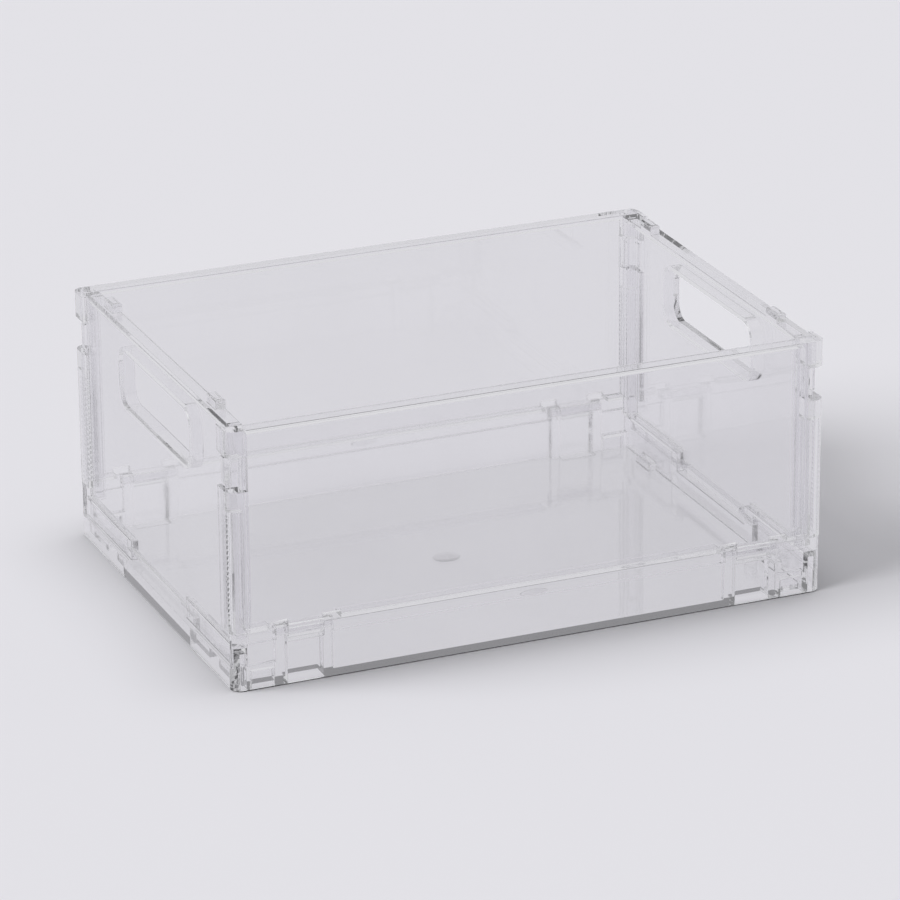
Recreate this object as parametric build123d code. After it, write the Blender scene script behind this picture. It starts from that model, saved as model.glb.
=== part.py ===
from build123d import *
from math import hypot
import os

os.makedirs("parts", exist_ok=True)

# Folding storage crate in clear plastic: a base tray, two long walls and two end walls.
# X runs along the long side, Y across it and Z up. The origin is under the middle of the base.
# The crate stands open. The end walls fold in first, then the long walls fold over them.

# Opened crate, measured over its walls and up to their tops
length = 300.0
width = 214.0
height = 127.0
corner_radius = 5.0

# Moulded sections that the pieces share
wall = 2.5
frame_depth = 8.2
flange_thickness = 2.5
gap = 0.3
overrun = 1.0

# Base tray
base_inset = 0.2
floor_thickness = 2.2
rim_height = 27.8
ledge_height = 21.7
ledge_depth = 2.3
end_strip_height = 10.3
block_height = 20.0
block_depth = 5.6
block_start = 38.4
block_skin = 1.3
block_roof = 2.0
pin_lug_length = 8.0
foot_hole_depth = 8.8
corner_foot_height = 10.2

# Hinges of the long walls: two posts on the base with a knuckle of the wall between them
hinge_inset = 36.3
hinge_height = 25.2
hinge_head_room = 3.3
knuckle_width = 17.3
post_width = 5.0
post_side_room = 3.4
pin_radius = 1.5
pin_fit = 0.02
running_fit = 0.06
bottom_rib_height = 2.0

# Hinges of the end walls: a tongue of the wall between two raised blocks of the base
end_pin_height = 14.2
end_pin_radius = 1.2
end_barrel_radius = 2.2
end_pin_seat = 8.0
end_pin_end_gap = 0.3

# Corners of the long walls, with the window that shows the latch of the end wall
return_length = 14.5
corner_length = 10.0
corner_web = 2.5
notch_drop = 12.9
notch_height = 16.6
notch_end_depth = 5.6
notch_length = 9.5
lower_block_height = 10.1

# End walls
edge_bar_width = 5.8
edge_rib = 1.5
hand_hole_width = 97.0
hand_hole_height = 28.0
hand_hole_drop = 10.7
hand_hole_radius = 8.0
collar_wall = 2.0
lug_length = 11.9
lug_width = 5.0
lug_height = 4.7
lug_inset = 30.2
lug_chamfer = 0.8
latch_reach = 1.6
latch_length = 4.0
latch_margin = 2.0

# Places that follow from the sizes above
half_length = length / 2
half_width = width / 2
base_half_length = half_length - base_inset
base_half_width = half_width - base_inset
rim_inner_y = base_half_width - wall
frame_inner_y = half_width - frame_depth
hinge_axis_y = half_width - frame_depth / 2
knuckle_radius = frame_depth / 2
post_radius = base_half_width - hinge_axis_y
hinge_x = half_length - hinge_inset
window_half = knuckle_width / 2 + gap
window_sill = hinge_height - knuckle_radius - gap
post_x = window_half + post_width / 2
post_reach = post_x + post_width / 2
zone_half = post_reach + post_side_room
foot_hole_far_y = rim_inner_y - foot_hole_depth
long_wall_bottom = rim_height + gap
zone_top = long_wall_bottom + hinge_head_room
return_edge_y = half_width - return_length
end_wall_outer = half_length - wall - gap
end_wall_inner = end_wall_outer - frame_depth
end_wall_half = frame_inner_y - gap
block_outer_x = end_wall_outer
block_inner_x = block_outer_x - block_depth
end_pin_x = block_outer_x - block_depth / 2
block_corner = hypot(end_pin_x - block_inner_x, block_height - end_pin_height)
end_wall_bottom = end_pin_height + block_corner + gap
tongue_half = block_start - gap
notch_top = height - notch_drop
notch_bottom = notch_top - notch_height
lower_block_bottom = notch_bottom - lower_block_height
hand_hole_z = height - hand_hole_drop - hand_hole_height / 2
lug_near_y = half_width - lug_inset - lug_length
lug_far_y = half_width - lug_inset


def block(x0, x1, y0, y1, z0, z1):
    """A box between two corners."""
    middle = Pos((x0 + x1) / 2, (y0 + y1) / 2, (z0 + z1) / 2)
    return middle * Box(abs(x1 - x0), abs(y1 - y0), abs(z1 - z0))


def rounded_slab(x_half, y_half, radius, z0, z1):
    """An upright prism with rounded vertical corners."""
    outline = RectangleRounded(2 * x_half, 2 * y_half, radius)
    return Pos(0, 0, z0) * extrude(outline, z1 - z0)


def rod_x(radius, x0, x1, y, z):
    """A round bar along X."""
    return Pos((x0 + x1) / 2, y, z) * Rot(0, 90, 0) * Cylinder(radius, abs(x1 - x0))


def rod_y(radius, x, y0, y1, z):
    """A round bar along Y."""
    return Pos(x, (y0 + y1) / 2, z) * Rot(90, 0, 0) * Cylinder(radius, abs(y1 - y0))


def both_x(solid):
    """The solid and its mirror image at the other end of the crate."""
    return [solid, solid.mirror(Plane.YZ)]


def both_y(solid):
    """The solid and its mirror image on the other side of the crate."""
    return [solid, solid.mirror(Plane.XZ)]


def all_corners(solid):
    """The solid at its own corner and at the other three."""
    return [copy for side in both_y(solid) for copy in both_x(side)]


def base_body():
    """Floor, long rims with their inner ledges, low end strips and the raised end blocks."""
    outline = rounded_slab(base_half_length, base_half_width, corner_radius, 0, rim_height)
    floor = block(-base_half_length, base_half_length, -base_half_width, base_half_width,
                  0, floor_thickness)
    rim = block(-base_half_length, base_half_length, rim_inner_y, base_half_width, 0, rim_height)
    ledge = block(-block_inner_x, block_inner_x, rim_inner_y - ledge_depth, rim_inner_y,
                  0, ledge_height)
    tower = block(block_inner_x, base_half_length, hinge_axis_y, base_half_width, 0, rim_height)
    raised = block(block_inner_x, block_outer_x, block_start, base_half_width, 0, block_height)
    strip = block(block_inner_x, base_half_length, -base_half_width, base_half_width,
                  0, end_strip_height)
    pieces = [floor, *both_y(rim), *both_y(ledge), *all_corners(tower)]
    pieces += [*all_corners(raised), *both_x(strip)]
    pieces += [*all_corners(corner_foot()), *all_corners(socket_cover())]
    return (pieces[0] + pieces[1:]) & outline


def corner_foot():
    """The raised part of the floor between a hinge and the end block beside it."""
    return block(hinge_x + post_reach, block_inner_x, frame_inner_y, rim_inner_y,
                 0, corner_foot_height)


def socket_cover():
    """The raised part of the floor over the socket for a stacking lug."""
    return block(end_wall_inner - gap - block_skin, block_inner_x,
                 lug_near_y - gap - block_skin, lug_far_y + gap + block_skin,
                 0, lug_height + gap + block_skin)


def hinge_post():
    """One post of a long wall's hinge, rounded over the pin."""
    x0 = hinge_x + post_x - post_width / 2
    x1 = x0 + post_width
    plate = block(x0, x1, hinge_axis_y - post_radius, base_half_width, 0, hinge_height)
    return plate + rod_x(post_radius, x0, x1, hinge_axis_y, hinge_height)


def hinge_cuts():
    """The window and floor hole of one hinge, and the bore through its posts."""
    x0 = hinge_x - window_half
    x1 = hinge_x + window_half
    window = block(x0, x1, rim_inner_y - overrun, base_half_width + overrun,
                   window_sill, rim_height + overrun)
    foot_hole = block(x0, x1, foot_hole_far_y, rim_inner_y, -overrun, rim_height + overrun)
    bore_reach = post_reach + gap
    post_bore = rod_x(pin_radius + pin_fit, hinge_x - bore_reach, hinge_x + bore_reach,
                      hinge_axis_y, hinge_height)
    return [window, foot_hole, post_bore]


def underside_cuts():
    """The hollows under one corner of the base, open from below, and the bore for an end pin."""
    hollow = block(block_inner_x + block_skin, block_outer_x - block_skin,
                   block_start + pin_lug_length, base_half_width - block_skin,
                   -overrun, block_height - block_roof)
    pocket = block(hinge_x + post_reach + block_skin, block_inner_x - block_skin,
                   frame_inner_y + block_skin, rim_inner_y,
                   -overrun, corner_foot_height - block_roof)
    bore = rod_y(end_pin_radius + pin_fit, end_pin_x, block_start - overrun,
                 block_start + pin_lug_length + overrun, end_pin_height)
    socket = block(end_wall_inner - gap, end_wall_inner + lug_width + gap,
                   lug_near_y - gap, lug_far_y + gap, -overrun, lug_height + gap)
    return [hollow, pocket, bore, socket]


def base_tray():
    """The tray: body and hinge posts, less the windows, hollows and bores."""
    tray = base_body()
    outer = hinge_post()
    inner = Pos(-2 * post_x, 0, 0) * outer
    tray = tray + [*all_corners(outer), *all_corners(inner)]
    cuts = [copy for cut in hinge_cuts() + underside_cuts() for copy in all_corners(cut)]
    return tray - cuts


def corner_frame(outer_shape):
    """Web, top block and lower block that stiffen one corner of a long wall."""
    x0 = half_length - corner_length
    y0 = frame_inner_y
    web = block(x0, x0 + corner_web, y0, half_width, long_wall_bottom, height)
    top = block(x0, half_length, y0, half_width, notch_top, height)
    lower = block(x0, half_length, y0, half_width, lower_block_bottom, notch_bottom)
    return (web + [top, lower]) & outer_shape


def corner_notch():
    """The window round one corner: through the return and the end of the panel."""
    end = block(half_length - notch_end_depth, half_length + overrun,
                return_edge_y - overrun, half_width + overrun, notch_bottom, notch_top)
    face = block(half_length - notch_length, half_length + overrun,
                 half_width - wall, half_width + overrun, notch_bottom, notch_top)
    return end + face


def knuckle():
    """The barrel of a long wall that turns between the two posts, and the plate it hangs from."""
    x0 = hinge_x - knuckle_width / 2
    x1 = hinge_x + knuckle_width / 2
    barrel = rod_x(knuckle_radius, x0, x1, hinge_axis_y, hinge_height)
    plate = block(x0, x1, half_width - wall, half_width, hinge_height, zone_top)
    return barrel + plate


def back_wall():
    """A long wall: panel with returns, top flange, bottom rib, corners and two knuckles."""
    outer = rounded_slab(half_length, half_width, corner_radius, long_wall_bottom, height)
    inner = rounded_slab(half_length - wall, half_width - wall, corner_radius - wall,
                         long_wall_bottom, height)
    side = block(-half_length, half_length, return_edge_y, half_width, long_wall_bottom, height)
    flange = block(-half_length, half_length, frame_inner_y, half_width,
                   height - flange_thickness, height)
    rib = block(corner_length - half_length, half_length - corner_length, frame_inner_y,
                half_width, long_wall_bottom, long_wall_bottom + bottom_rib_height)
    panel = ((outer - inner) & side) + [flange & outer, rib]
    panel = panel + both_x(corner_frame(outer))
    zone = block(hinge_x - zone_half, hinge_x + zone_half, return_edge_y, half_width + overrun,
                 long_wall_bottom - overrun, zone_top)
    panel = panel - [*both_x(corner_notch()), *both_x(zone)]
    panel = panel + both_x(knuckle())
    bore = rod_x(pin_radius + running_fit, hinge_x - window_half, hinge_x + window_half,
                 hinge_axis_y, hinge_height)
    return panel - both_x(bore)


def hand_hole(margin, x0, x1):
    """The rounded opening in an end wall, grown all round by a margin."""
    outline = RectangleRounded(hand_hole_width + 2 * margin, hand_hole_height + 2 * margin,
                               hand_hole_radius + margin)
    upright = Plane(origin=(x0, 0, hand_hole_z), x_dir=(0, 1, 0), z_dir=(1, 0, 0))
    return extrude(upright * outline, x1 - x0)


def stacking_lug():
    """A small block on the top flange that keys into the base of a crate above."""
    lug = block(end_wall_inner, end_wall_inner + lug_width, lug_near_y, lug_far_y,
                height - flange_thickness, height + lug_height)
    return chamfer(lug.edges().group_by(Axis.Z)[-1], lug_chamfer)


def end_wall_edge():
    """Side flange, inner rib and latch along one edge of an end wall."""
    side = block(end_wall_inner, end_wall_outer, end_wall_half - wall, end_wall_half,
                 end_wall_bottom, height)
    y0 = end_wall_half - edge_bar_width
    rib = block(end_wall_inner, end_wall_outer, y0, y0 + edge_rib, end_wall_bottom, height)
    latch = block(end_wall_outer - wall, end_wall_outer + latch_reach,
                  end_wall_half - latch_length, end_wall_half,
                  notch_bottom + latch_margin, notch_top - latch_margin)
    return side + [rib, latch]


def tongue():
    """The foot of an end wall between the base blocks, with the barrel that holds its two pins."""
    barrel = rod_y(end_barrel_radius, end_pin_x, -tongue_half, tongue_half, end_pin_height)
    foot = block(end_wall_outer - wall, end_wall_outer, -tongue_half, tongue_half,
                 end_pin_height, end_wall_bottom + wall)
    return barrel + foot


def right_end_wall():
    """An end wall: panel, top flange, edges, collar round the hand hole, lugs and tongue."""
    panel = block(end_wall_outer - wall, end_wall_outer, -end_wall_half, end_wall_half,
                  end_wall_bottom, height)
    top = block(end_wall_inner, end_wall_outer, -end_wall_half, end_wall_half,
                height - flange_thickness, height)
    collar = hand_hole(collar_wall, end_wall_inner, end_wall_outer)
    pieces = [top, collar, tongue(), *both_y(end_wall_edge()), *both_y(stacking_lug())]
    bore = rod_y(end_pin_radius + running_fit, end_pin_x,
                 tongue_half - end_pin_seat - end_pin_end_gap, tongue_half + overrun,
                 end_pin_height)
    opening = hand_hole(0, end_wall_inner - overrun, end_wall_outer + overrun)
    return panel + pieces - [opening, *both_y(bore)]


def long_hinge_pin():
    """A pin through both posts and the knuckle of one long-wall hinge."""
    return rod_x(pin_radius, hinge_x - post_reach, hinge_x + post_reach, hinge_axis_y,
                 hinge_height)


def end_hinge_pin():
    """A short pin from a base block into the tongue of an end wall."""
    return rod_y(end_pin_radius, end_pin_x, tongue_half - end_pin_seat,
                 block_start + pin_lug_length, end_pin_height)


def save(name, solid):
    """Write one piece to its own file."""
    solid.label = name
    export_step(solid, "parts/" + name + ".step")


def mirrored_pieces():
    """Every piece by name, with the mirror images made from one corner or side."""
    back = back_wall()
    right = right_end_wall()
    pieces = {"base_tray": base_tray(), "back_wall": back, "right_end_wall": right}
    pieces["front_wall"] = back.mirror(Plane.XZ)
    pieces["left_end_wall"] = right.mirror(Plane.YZ)
    long_pin = long_hinge_pin()
    end_pin = end_hinge_pin()
    pieces["back_right_hinge_pin"] = long_pin
    pieces["back_left_hinge_pin"] = long_pin.mirror(Plane.YZ)
    pieces["front_right_hinge_pin"] = long_pin.mirror(Plane.XZ)
    pieces["front_left_hinge_pin"] = long_pin.mirror(Plane.XZ).mirror(Plane.YZ)
    pieces["right_back_end_pin"] = end_pin
    pieces["left_back_end_pin"] = end_pin.mirror(Plane.YZ)
    pieces["right_front_end_pin"] = end_pin.mirror(Plane.XZ)
    pieces["left_front_end_pin"] = end_pin.mirror(Plane.XZ).mirror(Plane.YZ)
    return pieces


for name, solid in mirrored_pieces().items():
    save(name, solid)
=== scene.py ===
import math

import bmesh
import bpy
from mathutils import Matrix, Vector


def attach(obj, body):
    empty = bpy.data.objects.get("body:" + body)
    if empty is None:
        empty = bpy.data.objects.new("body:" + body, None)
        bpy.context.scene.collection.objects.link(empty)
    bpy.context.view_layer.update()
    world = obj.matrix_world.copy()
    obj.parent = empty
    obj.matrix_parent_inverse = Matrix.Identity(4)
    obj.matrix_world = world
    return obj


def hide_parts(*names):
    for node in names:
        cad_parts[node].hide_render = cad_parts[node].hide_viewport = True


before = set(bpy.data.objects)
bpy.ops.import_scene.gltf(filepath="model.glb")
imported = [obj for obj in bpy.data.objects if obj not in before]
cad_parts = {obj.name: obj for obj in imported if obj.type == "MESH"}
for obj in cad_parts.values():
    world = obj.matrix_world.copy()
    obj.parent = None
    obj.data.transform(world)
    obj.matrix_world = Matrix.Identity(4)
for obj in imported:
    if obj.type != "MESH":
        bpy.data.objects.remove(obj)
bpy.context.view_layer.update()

# The base tray is one clear moulding: a floor with low rims, eight hinge posts and raised end blocks.
# It is injection moulded in a hard clear plastic. The mould leaves a small radius on every edge and a
# wider one along the outer top edges, and the polished faces carry faint flow waves.
mm = 0.001
edge_radius = 0.35 * mm
edge_segments = 3
crown_radius = 0.8 * mm
crown_segments = 4
rim_top = 27.8 * mm
sharp_edge_angle = math.radians(35)
shortest_rounded_edge = 2.2 * mm
weld_distance = 0.002 * mm
level_tolerance = 0.05 * mm
flat_angle = math.radians(0.5)
largest_face_sides = 4
face_weight = 100


def reach(node):
    """The farthest x, y and z of a node's shape."""
    points = [vert.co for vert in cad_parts[node].data.vertices]
    return [max(point[axis] for point in points) for axis in range(3)]


rim_outer_x, rim_outer_y = reach("base_tray")[:2]


def round_edges(shape, edges, radius, segments):
    bmesh.ops.bevel(shape, geom=edges, offset=radius, offset_type="OFFSET", segments=segments,
                    profile=0.5, affect="EDGES", clamp_overlap=False)


def is_sharp(edge):
    return edge.is_manifold and edge.calc_face_angle() > sharp_edge_angle


def is_crown(edge, top, along_x, along_y):
    """True for an edge at this height that lies on one of the two lines, x or y."""
    ends = [vert.co for vert in edge.verts]
    level = all(abs(end.z - top) < level_tolerance for end in ends)
    on_x = all(abs(abs(end.x) - along_x) < level_tolerance for end in ends)
    on_y = all(abs(abs(end.y) - along_y) < level_tolerance for end in ends)
    return level and (on_x or on_y)


def finished_piece(mesh, name):
    """The mesh as a plain object at the origin, with flat faces that shade flat."""
    draft = bpy.data.objects.new(name + "_draft", mesh)
    bpy.context.scene.collection.objects.link(draft)
    flats = draft.modifiers.new("flat_faces_stay_flat", "WEIGHTED_NORMAL")
    flats.weight = face_weight
    flats.keep_sharp = True
    depsgraph = bpy.context.evaluated_depsgraph_get()
    finished = bpy.data.meshes.new_from_object(draft.evaluated_get(depsgraph),
                                               preserve_all_data_layers=True, depsgraph=depsgraph)
    bpy.data.objects.remove(draft)
    piece = bpy.data.objects.new(name, finished)
    bpy.context.scene.collection.objects.link(piece)
    return piece


def moulded_copy(node, top, crown_x, crown_y):
    """A node's shape as one clean closed mesh, with the radii that the mould leaves on its edges.

    The crown is the pair of top edges along crown_x or crown_y, which has a wider radius.
    """
    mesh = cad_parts[node].data.copy()
    shape = bmesh.new()
    shape.from_mesh(mesh)
    bmesh.ops.remove_doubles(shape, verts=shape.verts, dist=weld_distance)
    bmesh.ops.dissolve_limit(shape, angle_limit=flat_angle, verts=shape.verts, edges=shape.edges)
    crown = [edge for edge in shape.edges
             if is_sharp(edge) and is_crown(edge, top, crown_x, crown_y)]
    round_edges(shape, crown, crown_radius, crown_segments)
    sharp = [edge for edge in shape.edges
             if is_sharp(edge) and edge.calc_length() > shortest_rounded_edge]
    round_edges(shape, sharp, edge_radius, edge_segments)
    wide = [face for face in shape.faces if len(face.verts) > largest_face_sides]
    bmesh.ops.triangulate(shape, faces=wide)
    for face in shape.faces:
        face.smooth = True
    for edge in shape.edges:
        edge.smooth = edge.is_manifold and edge.calc_face_angle() < sharp_edge_angle
    shape.to_mesh(mesh)
    shape.free()
    mesh.materials.clear()
    return finished_piece(mesh, node + "_moulded")


wave_scale = 45
wave_detail = 1
haze_scale = 14
haze_detail = 4
haze_contrast = 0.6
haze_start = 0.4
haze_end = 0.65
polish = (0.015, 0.045)
first_colour = 6
second_colour = 7
mixed_colour = 2


def moulded_surface():
    """Faint flow waves and haze of a polished moulding, shared by all the clear materials."""
    group = bpy.data.node_groups.new("moulded_surface", "ShaderNodeTree")
    for name, socket_type, value in (("Wave Scale", "NodeSocketFloat", wave_scale),
                                     ("Haze Scale", "NodeSocketFloat", haze_scale),
                                     ("Clear Roughness", "NodeSocketFloat", polish[0]),
                                     ("Hazy Roughness", "NodeSocketFloat", polish[1]),
                                     ("Clear Tint", "NodeSocketColor", (1, 1, 1, 1)),
                                     ("Hazy Tint", "NodeSocketColor", (0.98, 0.98, 0.98, 1))):
        socket = group.interface.new_socket(name=name, in_out="INPUT", socket_type=socket_type)
        socket.default_value = value
    group.interface.new_socket(name="Tint", in_out="OUTPUT", socket_type="NodeSocketColor")
    group.interface.new_socket(name="Roughness", in_out="OUTPUT", socket_type="NodeSocketFloat")
    group.interface.new_socket(name="Height", in_out="OUTPUT", socket_type="NodeSocketFloat")
    nodes = group.nodes
    links = group.links
    given = nodes.new("NodeGroupInput")
    result = nodes.new("NodeGroupOutput")
    place = nodes.new("ShaderNodeTexCoord")
    waves = nodes.new("ShaderNodeTexNoise")
    waves.inputs["Detail"].default_value = wave_detail
    links.new(place.outputs["Object"], waves.inputs["Vector"])
    links.new(given.outputs["Wave Scale"], waves.inputs["Scale"])
    links.new(waves.outputs["Fac"], result.inputs["Height"])
    haze = nodes.new("ShaderNodeTexNoise")
    haze.inputs["Detail"].default_value = haze_detail
    haze.inputs["Roughness"].default_value = haze_contrast
    links.new(place.outputs["Object"], haze.inputs["Vector"])
    links.new(given.outputs["Haze Scale"], haze.inputs["Scale"])
    patches = nodes.new("ShaderNodeMapRange")
    patches.inputs["From Min"].default_value = haze_start
    patches.inputs["From Max"].default_value = haze_end
    links.new(haze.outputs["Fac"], patches.inputs["Value"])
    rough = nodes.new("ShaderNodeMapRange")
    links.new(given.outputs["Clear Roughness"], rough.inputs["To Min"])
    links.new(given.outputs["Hazy Roughness"], rough.inputs["To Max"])
    links.new(patches.outputs["Result"], rough.inputs["Value"])
    links.new(rough.outputs["Result"], result.inputs["Roughness"])
    tint = nodes.new("ShaderNodeMix")
    tint.data_type = "RGBA"
    links.new(patches.outputs["Result"], tint.inputs["Factor"])
    links.new(given.outputs["Clear Tint"], tint.inputs[first_colour])
    links.new(given.outputs["Hazy Tint"], tint.inputs[second_colour])
    links.new(tint.outputs[mixed_colour], result.inputs["Tint"])
    return group


surface_group = moulded_surface()
plastic_ior = 1.52
haze_dimming = 0.985
flow_wave = 0.03 * mm
deepest_ray = 10
floor_top = 2.2 * mm
slab_blend = 0.1 * mm
slab_top = floor_top + slab_blend
# Painted shade: in the floor slab, light that bounces long inside passes out darker, which keeps the
# slab's bottom band dark.
painted_slab_darkness = 0.4
leaking_light = 0.92


def clear_plastic(name, tint, wave_depth, sky_tint, lamp_tint, roughness=polish):
    """Polished clear plastic. Lamp and sky light pass it with a tint, as they pass the real one.

    Light that bounces on and on inside a piece leaks out pale, and in the floor slab it leaks out darker,
    a painted shade on the slab.
    """
    material = bpy.data.materials.new(name)
    material.use_nodes = True
    nodes = material.node_tree.nodes
    links = material.node_tree.links
    nodes.clear()
    output = nodes.new("ShaderNodeOutputMaterial")
    detail = nodes.new("ShaderNodeGroup")
    detail.node_tree = surface_group
    hazy_tint = [haze_dimming * channel for channel in tint[:3]]
    detail.inputs["Clear Tint"].default_value = tint
    detail.inputs["Hazy Tint"].default_value = (*hazy_tint, 1)
    detail.inputs["Clear Roughness"].default_value = roughness[0]
    detail.inputs["Hazy Roughness"].default_value = roughness[1]
    bump = nodes.new("ShaderNodeBump")
    bump.inputs["Strength"].default_value = 1
    bump.inputs["Distance"].default_value = wave_depth
    links.new(detail.outputs["Height"], bump.inputs["Height"])
    plastic = nodes.new("ShaderNodeBsdfPrincipled")
    plastic.inputs["IOR"].default_value = plastic_ior
    plastic.inputs["Transmission Weight"].default_value = 1
    links.new(detail.outputs["Tint"], plastic.inputs["Base Color"])
    links.new(detail.outputs["Roughness"], plastic.inputs["Roughness"])
    links.new(bump.outputs["Normal"], plastic.inputs["Normal"])
    path = nodes.new("ShaderNodeLightPath")
    deep = nodes.new("ShaderNodeMath")
    deep.operation = "GREATER_THAN"
    deep.inputs[1].default_value = deepest_ray
    links.new(path.outputs["Ray Depth"], deep.inputs[0])
    place = nodes.new("ShaderNodeTexCoord")
    height = nodes.new("ShaderNodeSeparateXYZ")
    links.new(place.outputs["Object"], height.inputs[0])
    # Painted shade: long-bounced light passes out darker in the floor slab than above it, chosen by
    # height.
    slab_painted_shade = nodes.new("ShaderNodeMapRange")
    slab_painted_shade.inputs["From Min"].default_value = slab_top
    slab_painted_shade.inputs["From Max"].default_value = slab_top + slab_blend
    slab_painted_shade.inputs["To Min"].default_value = painted_slab_darkness
    slab_painted_shade.inputs["To Max"].default_value = leaking_light
    links.new(height.outputs["Z"], slab_painted_shade.inputs["Value"])
    surface = plastic.outputs["BSDF"]
    for chosen, passed in ((deep.outputs[0], None), (path.outputs["Is Diffuse Ray"], sky_tint),
                           (path.outputs["Is Shadow Ray"], lamp_tint)):
        through = nodes.new("ShaderNodeBsdfTransparent")
        if passed:
            through.inputs["Color"].default_value = passed
        else:
            links.new(slab_painted_shade.outputs["Result"], through.inputs["Color"])
        mix = nodes.new("ShaderNodeMixShader")
        links.new(chosen, mix.inputs["Fac"])
        links.new(surface, mix.inputs[1])
        links.new(through.outputs["BSDF"], mix.inputs[2])
        surface = mix.outputs["Shader"]
    links.new(surface, output.inputs["Surface"])
    return material


base_tint = (0.985, 0.982, 0.99, 1)
base_sky_tint = (0.2, 0.2, 0.205, 1)
base_lamp_tint = (0.05, 0.05, 0.055, 1)
base_plastic = clear_plastic("clear_base_plastic", base_tint, flow_wave, base_sky_tint, base_lamp_tint)
tray = moulded_copy("base_tray", rim_top, rim_outer_x, rim_outer_y)
tray.data.materials.append(base_plastic)
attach(tray, "base")
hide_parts("base_tray")

# The gate scars are the shallow marks where the plastic entered the mould. One is in the middle of the
# floor and one on the outer face of each rim. They are of the tray's own plastic, a little hazier.
scar_sides = 32
scar_rings = ((1.0, 0.1), (1.0, 0.2), (0.9, 0.45), (0.75, 0.75), (0.55, 1.0), (0.35, 0.8), (0.15, 0.9))


def gate_scar(name, centre, across, along, half_length, half_width, lift):
    """A low oval mound with a shallow groove on top. Each ring has its share of the size and the lift."""
    outward = across.cross(along)
    shape = bmesh.new()
    loops = []
    for size, rise in scar_rings:
        loop = []
        for step in range(scar_sides):
            angle = 2 * math.pi * step / scar_sides
            loop.append(shape.verts.new(centre + across * (half_length * size * math.cos(angle))
                                        + along * (half_width * size * math.sin(angle))
                                        + outward * (lift * rise)))
        loops.append(loop)
    shape.faces.new(list(reversed(loops[0])))
    shape.faces.new(loops[-1])
    for inner, outer in zip(loops[1:], loops[:-1]):
        for step in range(scar_sides):
            nearby = (step + 1) % scar_sides
            side = shape.faces.new((outer[step], outer[nearby], inner[nearby], inner[step]))
            side.smooth = True
    mesh = bpy.data.meshes.new(name)
    shape.to_mesh(mesh)
    shape.free()
    return finished_piece(mesh, name)


scar_half_length = 7 * mm
floor_scar_half_width = 6 * mm
floor_scar_lift = 0.1 * mm
rim_scar_half_width = 1.7 * mm
rim_scar_lift = 0.18 * mm
rim_scar_height = 24.4 * mm
crosswise = Vector((1, 0, 0))
inwards = Vector((0, 1, 0))
upwards = Vector((0, 0, 1))
gate_tint = (0.985, 0.982, 0.987, 1)
gate_roughness = (0.12, 0.2)
gate_plastic = clear_plastic("clear_gate_plastic", gate_tint, flow_wave, base_sky_tint, base_lamp_tint,
                             gate_roughness)
for name, centre, across, along, half_width, lift in (
        ("floor_gate_scar", (0, 0, floor_top), crosswise, inwards,
         floor_scar_half_width, floor_scar_lift),
        ("front_gate_scar", (0, -rim_outer_y, rim_scar_height), crosswise, upwards,
         rim_scar_half_width, rim_scar_lift),
        ("back_gate_scar", (0, rim_outer_y, rim_scar_height), -crosswise, upwards,
         rim_scar_half_width, rim_scar_lift)):
    scar = gate_scar(name, Vector(centre), across, along, scar_half_length, half_width, lift)
    scar.data.materials.append(gate_plastic)
    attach(scar, "base")

# The two long walls are the same clear moulding, turned round. Each is a flat panel with a flange along
# its top, a return at both ends and two knuckles below. On the crate it turns on the hinge pins of the
# tray; here it is attached to the base.
wall_tint = (0.96, 0.957, 0.966, 1)
wall_sky_tint = (0.97, 0.97, 0.98, 1)
wall_lamp_tint = (0.22, 0.22, 0.22, 1)
wall_plastic = clear_plastic("clear_wall_plastic", wall_tint, flow_wave, wall_sky_tint, wall_lamp_tint)
wall_outer_x, wall_outer_y, wall_top = reach("back_wall")
flange_depth = 8.2 * mm
flange_inner_y = wall_outer_y - flange_depth
flange_inner_x = -reach("left_end_wall")[0]
for node in ("front_wall", "back_wall"):
    long_wall = moulded_copy(node, wall_top, flange_inner_x, flange_inner_y)
    long_wall.data.materials.append(wall_plastic)
    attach(long_wall, "base")
    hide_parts(node)

# On the inside of each return stands a ladder of fine ribs, moulded with the wall. The ribs steady the
# edge of the end wall when it is up. Each bar is sunk into the return and stands out by the rib lift.
rib_pitch = 2.6 * mm
rib_size = Vector((0.8, 4.6, 1.3)) * mm
rib_lift = 0.25 * mm
rib_count = 21
first_rib_height = 31.5 * mm
rib_centre_y = 98.6 * mm
return_thickness = 2.5 * mm
return_inner_x = wall_outer_x - return_thickness
rib_centre_x = return_inner_x - rib_lift + rib_size.x / 2


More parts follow.
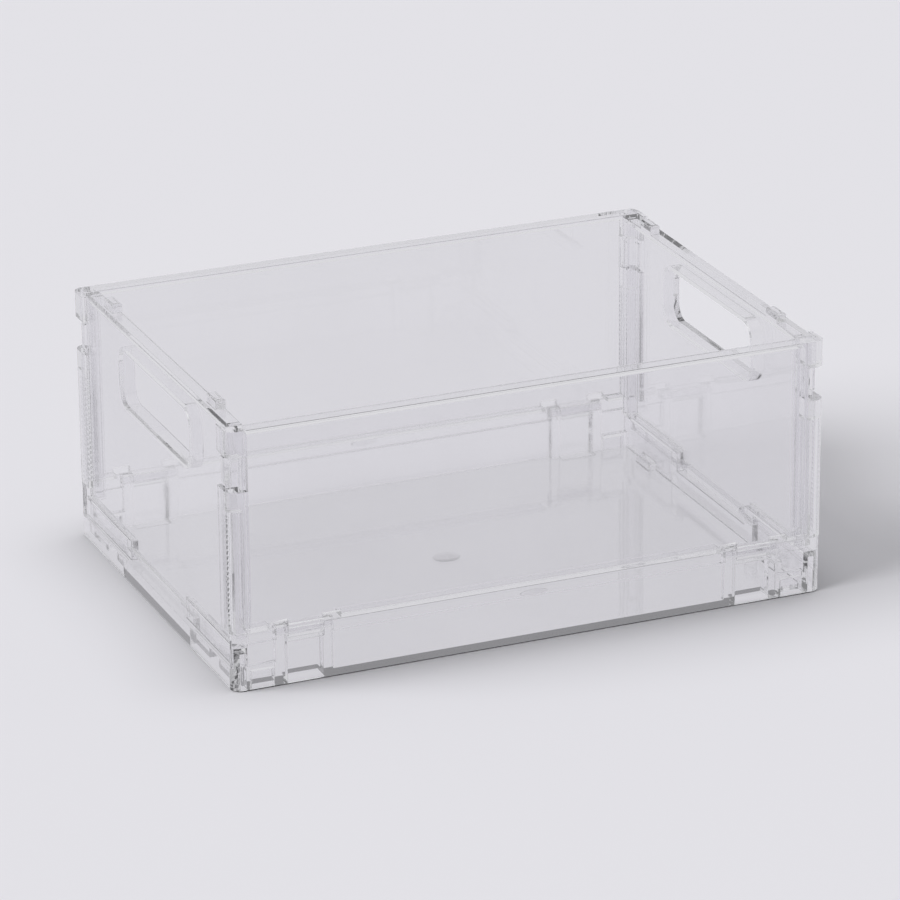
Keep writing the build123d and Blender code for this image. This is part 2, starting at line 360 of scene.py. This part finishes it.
def rib_ladder_nodes():
    """A column of small bars on one pitch, joined to one mesh."""
    tree = bpy.data.node_groups.new("rib_ladder", "GeometryNodeTree")
    tree.interface.new_socket(name="Geometry", in_out="INPUT", socket_type="NodeSocketGeometry")
    for name, socket_type in (("First Rib", "NodeSocketVector"), ("Rib Size", "NodeSocketVector"),
                              ("Pitch", "NodeSocketFloat"), ("Count", "NodeSocketInt"),
                              ("Material", "NodeSocketMaterial")):
        tree.interface.new_socket(name=name, in_out="INPUT", socket_type=socket_type)
    tree.interface.new_socket(name="Geometry", in_out="OUTPUT", socket_type="NodeSocketGeometry")
    nodes = tree.nodes
    links = tree.links
    given = nodes.new("NodeGroupInput")
    result = nodes.new("NodeGroupOutput")
    step = nodes.new("ShaderNodeCombineXYZ")
    links.new(given.outputs["Pitch"], step.inputs["Z"])
    column = nodes.new("GeometryNodeMeshLine")
    links.new(given.outputs["Count"], column.inputs["Count"])
    links.new(given.outputs["First Rib"], column.inputs["Start Location"])
    links.new(step.outputs[0], column.inputs["Offset"])
    bar = nodes.new("GeometryNodeMeshCube")
    links.new(given.outputs["Rib Size"], bar.inputs["Size"])
    placed = nodes.new("GeometryNodeInstanceOnPoints")
    links.new(column.outputs["Mesh"], placed.inputs["Points"])
    links.new(bar.outputs["Mesh"], placed.inputs["Instance"])
    real = nodes.new("GeometryNodeRealizeInstances")
    links.new(placed.outputs["Instances"], real.inputs["Geometry"])
    painted = nodes.new("GeometryNodeSetMaterial")
    links.new(real.outputs["Geometry"], painted.inputs["Geometry"])
    links.new(given.outputs["Material"], painted.inputs["Material"])
    links.new(painted.outputs["Geometry"], result.inputs["Geometry"])
    return tree


rib_ladder = rib_ladder_nodes()
for corner, side_x, side_y in (("front_left", -1, -1), ("front_right", 1, -1),
                               ("back_left", -1, 1), ("back_right", 1, 1)):
    holder = bpy.data.objects.new("rib_holder", bpy.data.meshes.new("rib_holder"))
    bpy.context.scene.collection.objects.link(holder)
    ladder = holder.modifiers.new("ladder", "NODES")
    ladder.node_group = rib_ladder
    first_rib = (side_x * rib_centre_x, side_y * rib_centre_y, first_rib_height)
    settings = {"First Rib": first_rib, "Rib Size": tuple(rib_size), "Pitch": rib_pitch,
                "Count": rib_count, "Material": wall_plastic}
    for item in rib_ladder.interface.items_tree:
        if item.in_out == "INPUT" and item.name in settings:
            ladder[item.identifier] = settings[item.name]
    depsgraph = bpy.context.evaluated_depsgraph_get()
    bars = bpy.data.meshes.new_from_object(holder.evaluated_get(depsgraph), depsgraph=depsgraph)
    holder.modifiers.remove(ladder)
    bpy.data.objects.remove(holder)
    ribs = bpy.data.objects.new(corner + "_ribs", bars)
    bpy.context.scene.collection.objects.link(ribs)
    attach(ribs, "base")

# The two end walls are one clear moulding too, turned round. Each has a hand hole with a collar, two
# stacking lugs, a latch at each corner and a hinge tongue, and folds inwards on the end pins.
for node, body in (("left_end_wall", "left_end"), ("right_end_wall", "right_end")):
    end_wall = moulded_copy(node, wall_top, flange_inner_x, flange_inner_y)
    end_wall.data.materials.append(wall_plastic)
    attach(end_wall, body)
    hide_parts(node)

# The hinge pins are plain clear rods. Each is pressed through its knuckle or tongue from the side, and
# held by the posts or end blocks of the tray.
pin_wave = 0.01 * mm
pin_lamp_tint = (0.9, 0.9, 0.91, 1)
pin_plastic = clear_plastic("clear_pin_plastic", wall_tint, pin_wave, wall_sky_tint, pin_lamp_tint)
for node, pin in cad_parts.items():
    if node.endswith("_pin"):
        pin.data.materials.clear()
        pin.data.materials.append(pin_plastic)

# The stage is a wide pale floor of painted board. It glows a little where it is seen through the clear
# plastic or mirrored in it, so that it looks as pale there as it does to the eye.
pale = (0.768, 0.761, 0.799)
floor_half_size = 40.0
floor_height = -0.5 * mm
floor_glow = 0.94
floor_glow_share = 0.85
floor_mesh = bpy.data.meshes.new("floor")
floor_mesh.from_pydata([(-floor_half_size, -floor_half_size, floor_height),
                        (floor_half_size, -floor_half_size, floor_height),
                        (floor_half_size, floor_half_size, floor_height),
                        (-floor_half_size, floor_half_size, floor_height)], [], [(0, 1, 2, 3)])
floor = bpy.data.objects.new("floor", floor_mesh)
bpy.context.scene.collection.objects.link(floor)
floor_paint = bpy.data.materials.new("pale_floor")
floor_paint.use_nodes = True
nodes = floor_paint.node_tree.nodes
links = floor_paint.node_tree.links
nodes.clear()
output = nodes.new("ShaderNodeOutputMaterial")
painted = nodes.new("ShaderNodeBsdfDiffuse")
painted.inputs["Color"].default_value = (*pale, 1)
glowing = nodes.new("ShaderNodeEmission")
glowing.inputs["Color"].default_value = (*pale, 1)
glowing.inputs["Strength"].default_value = floor_glow
path = nodes.new("ShaderNodeLightPath")
either = nodes.new("ShaderNodeMath")
either.operation = "MAXIMUM"
links.new(path.outputs["Is Transmission Ray"], either.inputs[0])
links.new(path.outputs["Is Glossy Ray"], either.inputs[1])
share = nodes.new("ShaderNodeMath")
share.operation = "MULTIPLY"
share.inputs[1].default_value = floor_glow_share
links.new(either.outputs[0], share.inputs[0])
mix = nodes.new("ShaderNodeMixShader")
links.new(share.outputs[0], mix.inputs["Fac"])
links.new(painted.outputs[0], mix.inputs[1])
links.new(glowing.outputs[0], mix.inputs[2])
links.new(mix.outputs[0], output.inputs["Surface"])
floor.data.materials.append(floor_paint)

# The studio is a white tent round the crate. The camera sees it as pale as the floor, the crate's faces
# mirror its grey bands, and it darkens to both sides, where dark flags stand.
full_light = 0.99
side_share = 0.47
top_share = 0.14
tent_bands = ((0.50, (0.64, 0.64, 0.66, 1)),
              (0.58, (0.74, 0.74, 0.76, 1)),
              (0.70, (0.74, 0.74, 0.76, 1)),
              (0.80, (0.50, 0.50, 0.52, 1)),
              (0.93, (0.85, 0.85, 0.87, 1)))
towards_flag = (0.923, -0.384, 0)
flag_start = 0.45
flag_end = 0.9
flag_darkness = 0.62
world = bpy.data.worlds.new("studio")
bpy.context.scene.world = world
world.use_nodes = True
nodes = world.node_tree.nodes
links = world.node_tree.links
nodes.clear()
output = nodes.new("ShaderNodeOutputWorld")
path = nodes.new("ShaderNodeLightPath")
direction = nodes.new("ShaderNodeTexCoord")
split = nodes.new("ShaderNodeSeparateXYZ")
links.new(direction.outputs["Generated"], split.inputs[0])
height_share = nodes.new("ShaderNodeMapRange")
height_share.inputs["From Min"].default_value = -1
links.new(split.outputs["Z"], height_share.inputs["Value"])
tent = nodes.new("ShaderNodeValToRGB")
stops = tent.color_ramp.elements
ready_stops = len(stops)
for step, (position, colour) in enumerate(tent_bands):
    stop = stops[step] if step < ready_stops else stops.new(position)
    stop.position = position
    stop.color = colour
links.new(height_share.outputs[0], tent.inputs["Fac"])
sideways = nodes.new("ShaderNodeVectorMath")
sideways.operation = "DOT_PRODUCT"
sideways.inputs[1].default_value = towards_flag
links.new(direction.outputs["Generated"], sideways.inputs[0])
far_out = nodes.new("ShaderNodeMath")
far_out.operation = "ABSOLUTE"
links.new(sideways.outputs["Value"], far_out.inputs[0])
flags = nodes.new("ShaderNodeMapRange")
flags.interpolation_type = "SMOOTHSTEP"
flags.inputs["From Min"].default_value = flag_start
flags.inputs["From Max"].default_value = flag_end
flags.inputs["To Min"].default_value = 1
flags.inputs["To Max"].default_value = flag_darkness
links.new(far_out.outputs[0], flags.inputs["Value"])
seen = nodes.new("ShaderNodeBackground")
seen.inputs["Color"].default_value = (*pale, 1)
reflected = nodes.new("ShaderNodeBackground")
links.new(tent.outputs[0], reflected.inputs["Color"])
links.new(flags.outputs[0], reflected.inputs["Strength"])
lit = nodes.new("ShaderNodeBackground")
lit.inputs["Color"].default_value = (1, 1, 1, 1)
lit.inputs["Strength"].default_value = full_light * (1 - side_share - top_share)
first = nodes.new("ShaderNodeMixShader")
links.new(path.outputs["Is Diffuse Ray"], first.inputs["Fac"])
links.new(reflected.outputs[0], first.inputs[1])
links.new(lit.outputs[0], first.inputs[2])
second = nodes.new("ShaderNodeMixShader")
links.new(path.outputs["Is Camera Ray"], second.inputs["Fac"])
links.new(first.outputs[0], second.inputs[1])
links.new(seen.outputs[0], second.inputs[2])
links.new(second.outputs[0], output.inputs["Surface"])

# Two soft lamps stand outside the tent. The low one at the left throws the wide shadow to the right. The
# weak high one at the right darkens the floor close to the crate's left side.
side_height = math.radians(42)
side_turn = math.radians(-3)
side_heading = (math.cos(side_turn), math.sin(side_turn))
side_angle = math.radians(40)
top_height = math.radians(78)
top_heading = (-1.0, 0.0)
top_angle = math.radians(24)
for name, lamp_share, height, heading, angle in (
        ("side_lamp", side_share, side_height, side_heading, side_angle),
        ("top_lamp", top_share, top_height, top_heading, top_angle)):
    lamp_data = bpy.data.lights.new(name, "SUN")
    lamp_data.angle = angle
    lamp_data.energy = full_light * lamp_share * math.pi / math.sin(height)
    lamp = bpy.data.objects.new(name, lamp_data)
    bpy.context.scene.collection.objects.link(lamp)
    lamp.visible_glossy = False
    lamp.visible_transmission = False
    travel = Vector((heading[0] * math.cos(height), heading[1] * math.cos(height), -math.sin(height)))
    lamp.rotation_mode = "QUATERNION"
    lamp.rotation_quaternion = travel.to_track_quat("-Z", "Y")

# The camera stands where the photograph was taken from, to the left of the front and a little above. Its
# place, turn and focal length were solved from the crate's corners.
camera_azimuth = math.radians(-22.574)
camera_elevation = math.radians(21.237)
camera_roll = math.radians(-0.516)
camera_place = Vector((-0.877219, -2.112406, 0.946885))
photo_width = 900
focal_length_px = 5097.7
centre_shift_px = (-3.752, -1.009)
sensor_width = 36
clear_bounces = 24
pass_through_bounces = 32
back = Vector((math.sin(camera_azimuth) * math.cos(camera_elevation),
               -math.cos(camera_azimuth) * math.cos(camera_elevation), math.sin(camera_elevation)))
right = Vector((math.cos(camera_azimuth), math.sin(camera_azimuth), 0))
up = back.cross(right)
turned_right = right * math.cos(camera_roll) + up * math.sin(camera_roll)
turned_up = up * math.cos(camera_roll) - right * math.sin(camera_roll)
camera_data = bpy.data.cameras.new("camera")
camera_data.sensor_width = sensor_width
camera_data.lens = focal_length_px * sensor_width / photo_width
camera_data.shift_x = -centre_shift_px[0] / photo_width
camera_data.shift_y = centre_shift_px[1] / photo_width
camera = bpy.data.objects.new("camera", camera_data)
bpy.context.scene.collection.objects.link(camera)
turn = Matrix((turned_right, turned_up, back)).transposed()
camera.matrix_world = Matrix.Translation(camera_place) @ turn.to_4x4()
bpy.context.scene.camera = camera
bpy.context.scene.view_settings.view_transform = "Standard"
bpy.context.scene.cycles.max_bounces = clear_bounces
bpy.context.scene.cycles.transmission_bounces = clear_bounces
bpy.context.scene.cycles.glossy_bounces = clear_bounces
bpy.context.scene.cycles.transparent_max_bounces = pass_through_bounces
